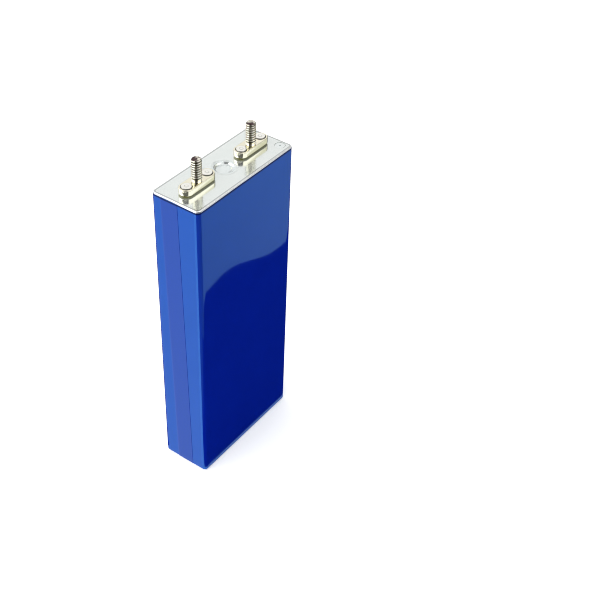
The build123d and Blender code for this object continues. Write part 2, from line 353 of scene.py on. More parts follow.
def blue_film():
    """Dyed glossy film over bright metal: a deep blue body colour under a paler mirror sheen, with painted
    shade in a dark line along its top edge.
    """
    made = Finish("blue_film", IOR=1.45, Specular_IOR_Level=0.06, Coat_Weight=0.06, Coat_Roughness=0.03)
    cloud = made.noise(0.06, 2.0)
    single = made.blended(cloud, (0.0008, 0.009, 0.245), (0.0012, 0.012, 0.285))
    speck = made.noise(2.2, 4.0)
    double = made.blended(speck, (0.003, 0.006, 0.215), (0.005, 0.008, 0.240))
    overlap = made.attribute("overlap")
    # Painted shade: a dark navy band along the film's top edge darkens both the body colour and the mirror
    # sheen.
    painted_edge_shade = made.attribute("painted_edge_shade")
    layered = made.blended(overlap, single, double)
    made.feed("Base Color", made.blended(painted_edge_shade, layered, (0.001, 0.004, 0.060)))
    scuffs = made.noise(0.9, 5.0, (1, 1, 0.06))
    gloss = made.ranged(scuffs, 0.03, 0.07, 0.35, 0.8)
    made.feed("Roughness", gloss)
    made.relief(made.noise(0.5, 2.0), 0.001)
    sheen = made.blended(cloud, (0.093, 0.45, 0.93), (0.112, 0.49, 0.97))
    layered_sheen = made.blended(overlap, sheen, (0.13, 0.40, 0.86))
    made.add_mirror(0.2, made.blended(painted_edge_shade, layered_sheen, (0.02, 0.06, 0.18)), gloss)
    return made


def pad_film():
    """Thin stuck-on base sheet, matt blue with a fine press texture."""
    made = Finish("pad_film", IOR=1.45, Specular_IOR_Level=0.3, Coat_Weight=0.15, Coat_Roughness=0.2)
    tone = made.noise(0.15, 3.0)
    made.feed("Base Color", made.blended(tone, (0.004, 0.030, 0.230), (0.007, 0.042, 0.290)))
    made.feed("Roughness", made.ranged(made.noise(1.5, 4.0), 0.30, 0.50))
    made.relief(made.cells(2.5), 0.01)
    return made


def metal(name, dark, light, rough, grain, grain_stretch, grain_depth, tone_scale=0.25):
    """Bare or plated metal: patchy tone, streaky roughness and a directed grain."""
    made = Finish(name, Metallic=1.0)
    patches = made.noise(tone_scale, 4.0)
    made.feed("Base Color", made.blended(patches, dark, light))
    streaks = made.noise(grain, 3.0, grain_stretch)
    made.feed("Roughness", made.ranged(streaks, rough[0], rough[1], 0.25, 0.75))
    made.relief(streaks, grain_depth)
    return made


def can_aluminium():
    """Deep-drawn aluminium with vertical drawing marks."""
    dark, light = (0.86, 0.87, 0.88), (0.93, 0.94, 0.95)
    return metal("can_aluminium", dark, light, (0.12, 0.24), 3.0, (1, 1, 0.1), 0.002)


def lid_aluminium():
    """Bright rolled sheet with fine lines along the wide side, greyer on the weld bead."""
    dark, light = (0.73, 0.77, 0.75), (0.79, 0.82, 0.80)
    made = metal("lid_aluminium", dark, light, (0.12, 0.20), 2.6, (0.05, 1, 1), 0.0006)
    made.shader.inputs["Metallic"].default_value = 0.86
    sheet = made.shader.inputs["Base Color"].links[0].from_socket
    scorch = made.ranged(made.noise(1.5, 3.0), 0.6, 1.0)
    welded = made.blended(scorch, (0.58, 0.60, 0.59), (0.46, 0.48, 0.47))
    made.feed("Base Color", made.blended(made.attribute("groove"), sheet, welded))
    made.relief(made.noise(0.12, 1.0), 0.012)
    return made


def vent_aluminium():
    """Stamped aluminium with a finer, less directed grain."""
    dark, light = (0.75, 0.79, 0.78), (0.81, 0.845, 0.835)
    return metal("vent_aluminium", dark, light, (0.12, 0.22), 4.0, (1, 1, 1), 0.001)


def inner_aluminium():
    """Plain aluminium strip inside the cell."""
    dark, light = (0.74, 0.75, 0.76), (0.85, 0.86, 0.87)
    return metal("inner_aluminium", dark, light, (0.22, 0.38), 2.0, (0.1, 1, 1), 0.004)


def nickel_plate():
    """Nickel plating with a warm cast, on edges rounded by tumbling."""
    dark, light = (0.78, 0.74, 0.58), (0.90, 0.87, 0.72)
    made = metal("nickel_plate", dark, light, (0.04, 0.10), 3.2, (0.3, 1, 1), 0.001)
    made.relief(made.noise(0.9, 2.0), 0.006)
    return made


def stud_steel():
    """Plated steel, with painted shade in dark brown in the roots of its thread and low on one flank."""
    made = Finish("stud_steel", Metallic=1.0)
    tone = made.blended(made.noise(0.8, 4.0), (0.80, 0.77, 0.64), (0.96, 0.94, 0.84))
    # Painted shade: the groove attribute darkens the thread's roots and one flank to dark brown.
    root = made.ranged(made.attribute("groove"), 0.0, 1.0, 0.30, 0.62)
    threaded = made.blended(root, tone, (0.035, 0.028, 0.016))
    # Darker reddish-brown patches, masked by noise, on the stud's end.
    end_patch = made.ranged(made.noise(0.45, 2.0), 0.15, 1.0, 0.42, 0.56)
    darker_end = made.math("MULTIPLY", end_patch, made.attribute("end"))
    made.feed("Base Color", made.blended(darker_end, threaded, (0.070, 0.040, 0.042)))
    made.feed("Roughness", made.ranged(made.noise(5.0, 4.0), 0.08, 0.18))
    made.relief(made.noise(6.0, 3.0), 0.002)
    return made


def rivet_metal():
    """Formed rivet head, with painted shade round its foot, on its rounded edge and in the ring of its
    dimple.
    """
    made = Finish("rivet_metal", Metallic=1.0)
    tone = made.blended(made.noise(0.25, 4.0), (0.80, 0.79, 0.73), (0.90, 0.89, 0.84))
    # Painted shade: the groove attribute darkens each head's foot, rounded edge and dimple ring.
    painted_shade = made.ranged(made.attribute("groove"), 0.0, 1.0)
    made.feed("Base Color", made.blended(painted_shade, tone, (0.07, 0.065, 0.05)))
    turning = made.noise(5.0, 3.0, (1, 1, 0.4))
    made.feed("Roughness", made.ranged(turning, 0.09, 0.20, 0.25, 0.75))
    made.relief(turning, 0.001)
    return made


def copper():
    """Bare copper with a darker oxide bloom."""
    dark, light = (0.62, 0.29, 0.17), (0.86, 0.47, 0.31)
    return metal("copper", dark, light, (0.20, 0.36), 2.0, (0.1, 1, 1), 0.004)


def plastic(name, dark, light, rough, grain, depth, level=0.4):
    """Moulded or cast polymer with mottled tone and a fine skin texture."""
    made = Finish(name, IOR=1.5, Specular_IOR_Level=level)
    made.feed("Base Color", made.blended(made.noise(0.4, 4.0), dark, light))
    skin = made.noise(grain, 5.0)
    made.feed("Roughness", made.ranged(skin, rough[0], rough[1]))
    made.relief(skin, depth)
    return made


def gasket_plastic():
    """Dark olive moulded plate under each terminal."""
    made = plastic("gasket_plastic", (0.120, 0.115, 0.022), (0.170, 0.163, 0.038), (0.2, 0.4), 6.0, 0.006)
    made.shader.inputs["Coat Weight"].default_value = 0.3
    made.shader.inputs["Coat Roughness"].default_value = 0.12
    return made


def seal_rubber():
    """Dark sealing rubber."""
    return plastic("seal_rubber", (0.020, 0.020, 0.022), (0.045, 0.044, 0.045), (0.55, 0.8), 8.0, 0.012, 0.3)


def insulator_plastic():
    """Natural moulded plastic, slightly cloudy."""
    return plastic("insulator_plastic", (0.70, 0.70, 0.66), (0.84, 0.84, 0.80), (0.35, 0.55), 4.0, 0.01)


def tape():
    """Green holding tape with a faint lengthwise stretch."""
    made = plastic("tape", (0.035, 0.25, 0.12), (0.06, 0.36, 0.19), (0.2, 0.35), 3.0, 0.006)
    made.relief(made.noise(1.2, 2.0, (0.05, 1, 1)), 0.01)
    return made


def cathode_coating():
    """Dark calendered coating with a slight metallic glint."""
    made = plastic("cathode_coating", (0.018, 0.018, 0.020), (0.035, 0.036, 0.040), (0.45, 0.7), 10.0, 0.01)
    made.shader.inputs["Metallic"].default_value = 0.2
    return made


def anode_coating():
    """Black graphite coating."""
    return plastic("anode_coating", (0.010, 0.010, 0.010), (0.024, 0.024, 0.025), (0.5, 0.75), 12.0, 0.012)


def separator_film():
    """White porous film."""
    return plastic("separator_film", (0.80, 0.80, 0.79), (0.92, 0.92, 0.91), (0.5, 0.65), 14.0, 0.004, 0.25)


def see_through(name, tint, alpha, rough):
    """Clear film: little colour, glossy, mostly transparent, with faint unevenness."""
    made = Finish(name, IOR=1.45, Specular_IOR_Level=0.5)
    haze = made.noise(0.8, 3.0)
    made.feed("Base Color", made.blended(haze, tint, tuple(min(1.0, 1.1 * c) for c in tint)))
    made.feed("Roughness", made.ranged(haze, rough, rough * 2.5))
    made.feed("Alpha", made.ranged(haze, alpha * 0.8, alpha * 1.2))
    made.relief(made.noise(0.5, 2.0), 0.01)
    return made


def clear_film():
    """Protective film over the vent."""
    return see_through("clear_film", (0.86, 0.90, 0.90), 0.07, 0.04)


def bag_film():
    """Clear polyester bag round the rolls."""
    return see_through("bag_film", (0.60, 0.72, 0.90), 0.35, 0.10)


finishes = {
    make.__name__: make().material
    for make in (
        blue_film, pad_film, can_aluminium, lid_aluminium, vent_aluminium, inner_aluminium,
        nickel_plate, stud_steel, rivet_metal, copper, gasket_plastic, seal_rubber,
        insulator_plastic, tape, cathode_coating, anode_coating, separator_film, clear_film, bag_film,
    )
}


def dress_cad_nodes():
    """Every CAD node takes the procedural material of its slot."""
    for part in frame["record"]["subparts"]:
        node = frame["nodes"][part["node"]]
        node.data.materials.clear()
        node.data.materials.append(finishes[part["material_slot"]])


# --- Film wrap ---

FILM_FOOT_RADIUS = 1.32
SEAM_BACK_TOP = 7.5
SEAM_FRONT_TOP = -1.5
SEAM_SHIFT_AT_BASE = -3.5
SEAM_RIDGE = 1.1
BEHIND_FILM = 0.24
SEAM_STEP = 0.02
FILM_FLAP_INSET = 2.15
FILM_DEPTH = 0.1
# Width of the painted shade band along the film's top edge.
EDGE_SHADE_BAND = 0.6
BROAD_SAG, BROAD_SAG_BAND = 0.10, 22.0
NARROW_SAG, NARROW_SAG_BAND = 0.05, 5.0
TOP_WAVINESS = 0.05


def seam_shift(z):
    """How far the slanted overlap has moved along the narrow side at a height."""
    return SEAM_SHIFT_AT_BASE * (film_high.z - z) / (film_high.z - FILM_FOOT_RADIUS)


def film_columns(z):
    """The wrap's outline at a height, as (x, y, outward x, outward y, lift, overlap)."""
    plain = corner_outline(HALF_X, HALF_Y, CORNER, 1.5, 10)
    arc_end = HALF_Y - CORNER
    sides = [p for p in plain if not (p[2] < -0.999 and abs(p[1]) < arc_end - 1e-6)]
    turn = next(i for i, p in enumerate(sides) if p[2] < -0.999 and p[1] > 0)
    back = SEAM_BACK_TOP + seam_shift(z)
    front = SEAM_FRONT_TOP + seam_shift(z)
    spots = [(y, 0.0, 0.0) for y in spaced(arc_end, back + SEAM_RIDGE, 3)[1:-1]]
    for y in spaced(back + SEAM_RIDGE, back, 5):
        rise = smooth_step(back + SEAM_RIDGE, back, y) if y > back else 1.0
        spots.append((y, FILM * rise, rise))
    spots += [(y, FILM, 1.0) for y in spaced(back, front, 8)[1:]]
    spots.append((front - SEAM_STEP, 0.0, 0.0))
    spots += [(y, 0.0, 0.0) for y in spaced(front - SEAM_STEP, -arc_end, 7)[1:-1]]
    narrow = [(-HALF_X, y, -1.0, 0.0, lift, over) for y, lift, over in spots]
    before = [(*p, 0.0, 0.0) for p in sides[:turn + 1]]
    after = [(*p, 0.0, 0.0) for p in sides[turn + 1:]]
    return before + narrow + after


def film_sag(x, y, out_y, z):
    """How far the film lies below its flat face, in gentle waves that die out at edges."""
    height = smooth_step(2.0, 14.0, z) * (1 - smooth_step(film_high.z - 8.0, film_high.z - 1.0, z))
    if abs(out_y) > 0.99:
        edge = smooth_step(0.0, BROAD_SAG_BAND, HALF_X - CORNER - abs(x))
        side = 1.0 if out_y > 0 else 0.0
        wave = 0.6 + 0.22 * math.sin(x / 11.0 + z / 34.0 + 1.3 + side)
        wave += 0.18 * math.sin(z / 17.0 - x / 24.0 + 2.1 * side)
        return BROAD_SAG * wave * edge * height
    if abs(out_y) < 0.01:
        edge = smooth_step(0.0, NARROW_SAG_BAND, HALF_Y - CORNER - abs(y))
        wave = 0.5 + 0.5 * math.sin(z / 23.0 + y / 9.0)
        return NARROW_SAG * wave * edge * height
    return 0.0


def build_film_wrap():
    """Film round the can and under its base: one skin with a lapped, slanted seam."""
    side_heights = spaced(film_low.z + FILM_FOOT_RADIUS, film_high.z - 1.0, 84)
    side_heights += [film_high.z - 0.5, film_high.z]
    foot = arc((FILM_FOOT_RADIUS, film_low.z + FILM_FOOT_RADIUS), FILM_FOOT_RADIUS, 270, 180, 6)
    outer_rows = [(FILM_FLAP_INSET, film_low.z)] + foot[:-1] + [(0.0, z) for z in side_heights]
    loops, overlap, painted_edge_shade = [], [], []
    for inset, z in outer_rows:
        columns = film_columns(max(z, film_low.z + FILM_FOOT_RADIUS))
        loops.append(film_loop(columns, inset, z, 0.0))
        overlap += [c[5] for c in columns]
        # Painted shade: points near the film's top edge are marked for a darker colour.
        painted_edge_shade += [1.0 if z > film_high.z - EDGE_SHADE_BAND else 0.0 for _ in columns]
    for inset, z in reversed(outer_rows):
        columns = film_columns(max(z, film_low.z + FILM_FOOT_RADIUS))
        loops.append(film_loop(columns, inset, max(z, film_low.z + FILM_DEPTH), FILM_DEPTH))
        overlap += [0.0 for _ in columns]
        painted_edge_shade += [0.0 for _ in columns]
    wrap = add_mesh("film_wrap_skin", *stacked_loops(loops), sharp_angle=50)
    store(wrap, "overlap", overlap)
    store(wrap, "painted_edge_shade", painted_edge_shade)
    return finish_piece(wrap, "blue_film", "film_wrap")


def film_loop(columns, inset, z, depth):
    """One closed row of the wrap, depth being how far it lies inside the outer face."""
    loop = []
    for x, y, out_x, out_y, lift, _ in columns:
        sag = film_sag(x, y, out_y, z) + depth + inset - (lift if depth == 0 else 0)
        edge = TOP_WAVINESS * math.sin(x / 6.0 + y / 4.0) if z > film_high.z - 0.01 else 0.0
        loop.append((x - out_x * sag, y - out_y * sag, z + edge))
    return loop


# --- Can, lid joint and base ---

RIM_ROUND = 0.35
CAN_FOOT_RADIUS = 1.2
JOINT_CORNER = 1.28
BEAD_WIDTH = 0.75
BEAD_HEIGHT = 0.04
RIPPLE_PITCH = 0.3
RIPPLE_DEPTH = 0.06
BEAD_SINK = 0.005


def build_can():
    """Can with a rounded rim. Below the film's edge its sides lie a little inside the film."""
    outline = corner_outline(can_high.x, can_high.y, CORNER - FILM, 3.0, 8)
    wall = can_high.x - lid_high.x
    foot = arc((CAN_FOOT_RADIUS + BEHIND_FILM, can_low.z + CAN_FOOT_RADIUS), CAN_FOOT_RADIUS, 270, 180, 5)
    rim = arc((RIM_ROUND, LID_TOP - RIM_ROUND), RIM_ROUND, 180, 90, 5)
    rows = [(1.9, can_low.z)] + foot
    rows += [(BEHIND_FILM, film_high.z - 0.6), (0.0, film_high.z - 0.3)] + rim
    rows += [(wall, LID_TOP), (wall, can_low.z + 1.4), (wall + 0.4, can_low.z + 1.0)]
    can = add_mesh("can_shell", *raised(outline, rows))
    return finish_piece(can, "can_aluminium", "case_can")


def build_lid_weld():
    """Laser weld bead on the joint of lid and can, rippled along its run."""
    outline = corner_outline(lid_high.x, lid_high.y, JOINT_CORNER, 0.07, 28)
    loops = []
    run = 0.0
    for here, after in zip(outline, outline[1:] + outline[:1]):
        x, y, out_x, out_y = here
        loop = []
        for k in range(7):
            across = k / 3 - 1
            ripple = math.sin(2 * math.pi * (run / RIPPLE_PITCH - 0.45 * across * across))
            crown = max(0.0, 1 - across * across)
            z = LID_TOP + BEAD_HEIGHT * crown * (1 - RIPPLE_DEPTH * (0.5 + 0.5 * ripple)) - BEAD_SINK
            spread = across * BEAD_WIDTH / 2
            loop.append((x + out_x * spread, y + out_y * spread, z))
        loop.append((x, y, LID_TOP - 0.06))
        loops.append(loop)
        run += math.hypot(after[0] - x, after[1] - y)
    count = len(loops[0])
    vertices = [p for loop in loops for p in loop]
    faces = []
    for i in range(len(loops)):
        j = (i + 1) % len(loops)
        for k in range(count):
            m = (k + 1) % count
            faces.append((i * count + k, i * count + m, j * count + m, j * count + k))
    weld = add_mesh("lid_weld_bead", vertices, faces, sharp_angle=60)
    store(weld, "groove", [1.0] * len(vertices))
    return finish_piece(weld, "lid_aluminium")


def build_base_pad():
    """Sheet under the base, its cut edge slightly rounded."""
    half_x, half_y = pad_high.x, pad_high.y
    outline = corner_outline(half_x, half_y, 2.0, 3.0, 8)
    edge = 0.05
    rows = [(1.0, pad_low.z)] + arc((edge, pad_low.z + edge), edge, 270, 180, 3)
    rows += arc((edge, pad_high.z - edge), edge, 180, 90, 3)
    pad = add_mesh("base_pad_sheet", *raised(outline, rows))
    return finish_piece(pad, "pad_film", "base_pad")


# --- Terminals ---

THREAD_PITCH = 1.2
THREAD_DEPTH = 0.54
THREAD_ROWS = 16
THREAD_RADIUS = 2.5
CREST_END = 1 / 16
ROOT_START = 3 / 8
NECK_RADIUS = 2.1
NECK_HEIGHT = 0.9
TIP_ROUND = 0.8
STUD_HEAD_HEIGHT = 0.95
SHOULDER_RADIUS = 2.7
PLATE_STUD_HOLE = 2.72
PLATE_EDGE = 0.35
GASKET_EDGE = 0.06
RIVET_EDGE = 0.22
RIVET_FOOT_RADIUS = 3.0
RIVET_FOOT_HEIGHT = 0.7
RIVET_SHANK = 1.9
RIVET_HOLE = 1.92
RIVET_HEAD = 2.6
# Outer radius of the thin flange that carries the painted shadow line round each rivet head.
RIVET_SHADOW_RING = 2.85
RIVET_COLUMNS = 48
STUD_COLUMNS = 56


def thread_phase(z, angle):
    """Place within one pitch of the helix: 0 and 1 in the root, 0.5 on the crest."""
    return (z / THREAD_PITCH - angle / (2 * math.pi)) % 1.0


def thread_cut(z, angle):
    """Depth of the helical groove, 0 on the crest and 1 in the root."""
    from_crest = abs(thread_phase(z, angle) - 0.5)
    return min(1.0, max(0.0, (from_crest - CREST_END) / (ROOT_START - CREST_END)))


def thread_painted_shade(z, angle):
    """Painted shade in the root and low on the upward flank."""
    phase = thread_phase(z, angle)
    return 1.0 if phase < 0.04 else smooth_step(0.64, 0.76, phase)


def build_stud(pole):
    """Headed stud whose free end carries a real helical thread."""
    low, high = box_of(f"{pole}_stud")
    plate_top = box_of(f"{pole}_terminal_plate")[1].z
    centre = ((low.x + high.x) / 2, (low.y + high.y) / 2)
    head = (high.x - low.x) / 2
    thread_foot = plate_top + NECK_HEIGHT
    tip = high.z - TIP_ROUND
    head_top = low.z + STUD_HEAD_HEIGHT
    profile = [(head - 0.1, low.z), (head, low.z + 0.1), (head, low.z + 0.8), (head - 0.15, head_top)]
    profile += [(SHOULDER_RADIUS, head_top), (SHOULDER_RADIUS, plate_top - 0.04)]
    profile += [(SHOULDER_RADIUS - 0.04, plate_top), (NECK_RADIUS + 0.12, plate_top)]
    profile += [(NECK_RADIUS, plate_top + 0.12), (NECK_RADIUS, thread_foot)]
    turns = round((tip - thread_foot) / THREAD_PITCH * THREAD_ROWS)
    profile += [(THREAD_RADIUS, z) for z in spaced(thread_foot + 0.12, tip, turns)]
    profile += arc((THREAD_RADIUS - TIP_ROUND, tip), TIP_ROUND, 0, 90, 8)[1:]
    profile += [(1.5, high.z), (0.9, high.z - 0.03)]

    def cut(radius, z, angle):
        if z < thread_foot + 0.1 or radius < NECK_RADIUS - 0.25:
            return radius
        start = NECK_RADIUS + 1.2 * (z - thread_foot)
        groove = THREAD_RADIUS - THREAD_DEPTH * thread_cut(z, angle)
        return min(radius, start, groove)

    solid = turned(profile, centre, STUD_COLUMNS, cut)
    stud = add_mesh(f"{pole}_threaded_stud", *solid, sharp_angle=28)
    groove, end = [], []
    for radius, z in profile:
        threaded = thread_foot < z <= high.z - 0.3 and radius > 2
        # Marks the stud's end for the darker reddish-brown patches.
        end_patch = smooth_step(0.5, 0.2, high.z - z) if radius < THREAD_RADIUS - 0.1 else 0.0
        for k in range(STUD_COLUMNS):
            # Painted shade of the thread, stored in the groove attribute.
            groove.append(thread_painted_shade(z, 2 * math.pi * k / STUD_COLUMNS) if threaded else 0.0)
            end.append(end_patch)
    store(stud, "groove", groove)
    store(stud, "end", end)
    return finish_piece(stud, "stud_steel", f"{pole}_stud")


def rivet_places(pole):
    """Centres of a terminal's two rivets."""
    low, high = box_of(f"{pole}_rivets")
    foot = (high.y - low.y) / 2
    return [(low.x + foot, 0.0), (high.x - foot, 0.0)]


def rivet_painted_shade(radius, above_plate, below_top):
    """Painted shade on a rivet head: full at its foot, half on its rounded edge, faint in its ring."""
    if radius > 2.55 and above_plate < 0.1:
        return 1.0
    if radius > 2.4 and 0.0 <= below_top <= RIVET_EDGE:
        return 0.62
    return 0.2 if 0.78 < radius < 0.96 else 0.0


def build_rivets(pole):
    """Two rivets with formed heads: a rounded edge, a flat top, a pressed ring and a centre dimple."""
    low, high = box_of(f"{pole}_rivets")
    plate_top = box_of(f"{pole}_terminal_plate")[1].z
    top = high.z
    foot_top = low.z + RIVET_FOOT_HEIGHT
    profile = [(RIVET_FOOT_RADIUS - 0.15, low.z), (RIVET_FOOT_RADIUS, low.z + 0.15)]
    profile += [(RIVET_FOOT_RADIUS, foot_top), (RIVET_SHANK, foot_top), (RIVET_SHANK, plate_top)]
    # A thin flange round each head's foot carries a painted shadow line.
    profile += [(RIVET_SHADOW_RING, plate_top), (RIVET_SHADOW_RING - 0.02, plate_top + 0.02)]
    profile += [(RIVET_HEAD + 0.04, plate_top + 0.02), (RIVET_HEAD, plate_top + 0.08)]
    profile += arc((RIVET_HEAD - RIVET_EDGE, top - RIVET_EDGE), RIVET_EDGE, 0, 90, 6)
    profile += [(2.3, top), (1.12, top), (1.02, top - 0.01), (0.94, top - 0.07)]
    profile += [(0.80, top - 0.07), (0.74, top - 0.02), (0.62, top - 0.05), (0.2, top - 0.15)]
    pair = joined([turned(profile, place, RIVET_COLUMNS) for place in rivet_places(pole)])
    rivets = add_mesh(f"{pole}_formed_rivets", *pair, sharp_angle=50)
    # Painted shade for each point of the rivets, stored in the groove attribute.
    painted_shade = [
        rivet_painted_shade(radius, z - plate_top, high.z - z)
        for _ in rivet_places(pole)
        for radius, z in profile
        for _ in range(RIVET_COLUMNS)
    ]
    store(rivets, "groove", painted_shade)
    return finish_piece(rivets, "rivet_metal", f"{pole}_rivets")


def build_terminal_plate(pole):
    """Terminal plate with rounded edges, drilled for its rivets and stud."""
    low, high = box_of(f"{pole}_terminal_plate")
    centre_x = (low.x + high.x) / 2
    outline = slot_outline((high.x - low.x) / 2, (high.y - low.y) / 2, centre_x)
    foot = arc((0.15, low.z + 0.15), 0.15, 270, 180, 3)
    edge = arc((PLATE_EDGE, high.z - PLATE_EDGE), PLATE_EDGE, 180, 90, 6)
    solid = raised(outline, foot + edge + [(PLATE_EDGE + 0.12, high.z)])
    plate = add_mesh(f"{pole}_plate_rounded", *solid, sharp_angle=40)
    holes = [(x, y, RIVET_HOLE) for x, y in rivet_places(pole)]
    holes.append((centre_x, 0.0, PLATE_STUD_HOLE))
    finish_piece(drill(plate, holes), "nickel_plate", f"{pole}_terminal_plate")
    return plate


def build_gasket(pole):
    """Plastic plate under the terminal, its cut edges just broken."""
    low, high = box_of(f"{pole}_outer_gasket")
    centre_x = (low.x + high.x) / 2
    outline = slot_outline((high.x - low.x) / 2, (high.y - low.y) / 2, centre_x)
    rows = [(GASKET_EDGE, low.z), (0.0, low.z + GASKET_EDGE)]
    rows += [(0.0, high.z - GASKET_EDGE), (GASKET_EDGE, high.z)]
    gasket = add_mesh(f"{pole}_gasket_tray", *raised(outline, rows))
    drill(gasket, [(x, y, RIVET_HOLE) for x, y in rivet_places(pole)])
    finish_piece(gasket, "gasket_plastic", f"{pole}_outer_gasket")
    return gasket


# --- Vent and filling port ---

VENT_SEAT_DEPTH = 0.8
VENT_HOLE = 4.56
VENT_RIM_WIDTH = 0.3
VENT_WALL_FOOT = 3.75
VENT_MEMBRANE = 0.25
SCORE_DEPTH = 0.04
CAP_HOLE_DEPTH = 0.4
BEAD_RISE = 0.10


def build_vent():
    """Dished vent disc: weld rim, curved wall, scored ring and raised bead."""
    radius = vent_high.x
    seat = LID_TOP - VENT_SEAT_DEPTH
    rim = vent_high.z
    floor = vent_low.z + VENT_MEMBRANE
    wall_top = radius - VENT_RIM_WIDTH
    profile = [(3.9, vent_low.z), (VENT_HOLE, seat), (radius, seat)]
    profile += [(radius, rim - 0.05), (radius - 0.05, rim)]
    for r in spaced(wall_top, VENT_WALL_FOOT, 12):
        profile.append((r, floor + (rim - floor) * smooth_step(VENT_WALL_FOOT, wall_top, r)))
    profile += [(3.68, floor), (3.63, floor - SCORE_DEPTH), (3.47, floor - SCORE_DEPTH)]
    profile += [(3.42, floor), (3.3, floor), (3.2, floor + 0.03), (3.05, floor + 0.08)]
    profile += [(2.9, floor + BEAD_RISE), (2.75, floor + 0.08)]
    profile += [(2.6, floor + 0.03), (2.5, floor), (2.3, floor), (0.4, floor)]
    disc = add_mesh("vent_disc_dished", *turned(profile, (0, 0), 72), sharp_angle=40)
    return finish_piece(disc, "vent_aluminium", "vent_disc")


def build_fill_cap():
    """Welded filling cap: a disc with a soft chamfer and a small round hole in its middle."""
    centre = ((cap_low.x + cap_high.x) / 2, (cap_low.y + cap_high.y) / 2)
    radius = (cap_high.x - cap_low.x) / 2
    top = cap_high.z
    profile = [(radius - 0.1, cap_low.z), (radius, cap_low.z + 0.1), (radius, top - 0.2)]
    profile += [(radius - 0.04, top - 0.10), (radius - 0.16, top - 0.02), (radius - 0.3, top)]
    profile += [(0.46, top), (0.4, top - 0.06), (0.38, top - CAP_HOLE_DEPTH), (0.2, top - CAP_HOLE_DEPTH)]
    cap = add_mesh("fill_cap_welded", *turned(profile, centre, 56), sharp_angle=40)
    return finish_piece(cap, "vent_aluminium", "fill_cap")


# --- Stage, light and camera ---

CAMERA_PLACE = (-333.536, -269.049, 446.229)
CAMERA_HEADING = 33.94
CAMERA_DROP = 39.87
CAMERA_ROLL = 2.594
CAMERA_LENS = 67.03
SENSOR = 36.0

WHITE = (1.0, 1.0, 1.0)
CARD_NEAR_EDGE = -15.0
LEFT_CARD_LIGHT = 1.12
STRIP_STEPS = 12
STRIP_REACH = 700
STRIP_WIDE = (-1.1, 0.55)
STRIP_NARROW = (-0.46, 0.08)
FAN_STEPS = 12


def stage_material(name, colour, light=0.0, paint=0.9):
    """Pale stage paint with a trace of mottling, giving off a little light of its own if asked."""
    made = Finish(name, Specular_IOR_Level=0.1)
    tone = made.noise(0.02, 3.0)
    shade = tuple(c * paint for c in colour)
    made.feed("Base Color", made.blended(tone, shade, tuple(c * 0.985 for c in shade)))
    made.feed("Roughness", made.ranged(tone, 0.6, 0.8))
    made.shader.inputs["Emission Color"].default_value = (*colour, 1)
    made.shader.inputs["Emission Strength"].default_value = light
    return made.material


def build_floor():
    """Wide pale floor."""
    size = 3000.0
    corners = [(-size, -size, 0), (size, -size, 0), (size, size, 0), (-size, size, 0)]
    floor = add_mesh("floor", corners, [(0, 1, 2, 3)])
    floor.data.materials.append(stage_material("floor_paint", (1.0, 1.0, 1.0), 0.35))


def build_card(name, corners, colour, strength, faces=None):
    """Card that only reflections see: it stands in for what lay beside the cell."""
    card = add_mesh(name, corners, faces or [tuple(range(len(corners)))])
    card.data.materials.append(stage_material(name + "_paint", colour, strength, 0.0))
    hide_from_all_but_gloss(card)
    return card


# Places where the far edge of the dark block turns, as (x, y), with smooth waves between them
BLOCK_TURNS = ((-62, -85.7), (57, -85.7), (82, -88.5), (110, -79.2), (117, -78.8), (300, -78.8))
BLOCK_WAVE_STEPS = 12
BLOCK_TOP = 27.0


def wavy_edge():
    """The block's far edge as a fine run of (x, y) points."""
    edge = [BLOCK_TURNS[0]]
    for (x0, y0), (x1, y1) in zip(BLOCK_TURNS, BLOCK_TURNS[1:]):
        for x in spaced(x0, x1, BLOCK_WAVE_STEPS)[1:]:
            edge.append((x, y0 + (y1 - y0) * smooth_step(x0, x1, x)))
    return edge


def build_dark_block():
    """A dark low block lay in front of the broad side, its far edge wavy."""
    edge = wavy_edge()
    count = len(edge)
    near = [(x, CARD_NEAR_EDGE, 1.0) for x, _ in edge]
    far = [(x, y, BLOCK_TOP) for x, y in edge]
    faces = [(i, i + 1, count + i + 1, count + i) for i in range(count - 1)]
    build_card("dark_block_card", near + far, (0.010, 0.060, 0.50), 0.2, faces)


def fan(start, end, from_angle, to_angle, reach, height):
    """Card outline spreading over the floor from one or two points, angles in degrees from +X."""
    turns = [math.radians(a) for a in spaced(from_angle, to_angle, FAN_STEPS)]
    rim = []
    for k, turn in enumerate(turns):
        t = k / FAN_STEPS
        x = start[0] + (end[0] - start[0]) * t + reach * math.cos(turn)
        y = start[1] + (end[1] - start[1]) * t + reach * math.sin(turn)
        rim.append((x, y, height))
    return [(*end, height), (*start, height)] + rim


def build_reflection_cards():
    """Block and dim studio in front, the shades that show in the narrow side, and a dark back."""
    build_dark_block()
    far = [(-900, CARD_NEAR_EDGE, 0.3), (1500, CARD_NEAR_EDGE, 0.3), (1500, -1500, 0.3), (-900, -1500, 0.3)]
    studio = build_card("dim_studio_card", far, WHITE, 0.6)
    brighten_along_x(studio.data.materials[0])
    left = fan((-35.5, 13), (-35.5, -10), 100, 143, 900, 0.5)
    build_card("left_studio_card", left, WHITE, LEFT_CARD_LIGHT)
    corner = fan((-36, -13.5), (-34, CARD_NEAR_EDGE), 187, 308, 600, 0.7)
    build_card("dark_corner_card", corner, WHITE, 0.2)
    back = [(-38, 14.5, 0.7), (900, 14.5, 0.7), (900, 900, 0.7), (-160, 900, 0.7)]
    build_card("dark_back_card", back, (0.01, 0.05, 0.40), 0.15)


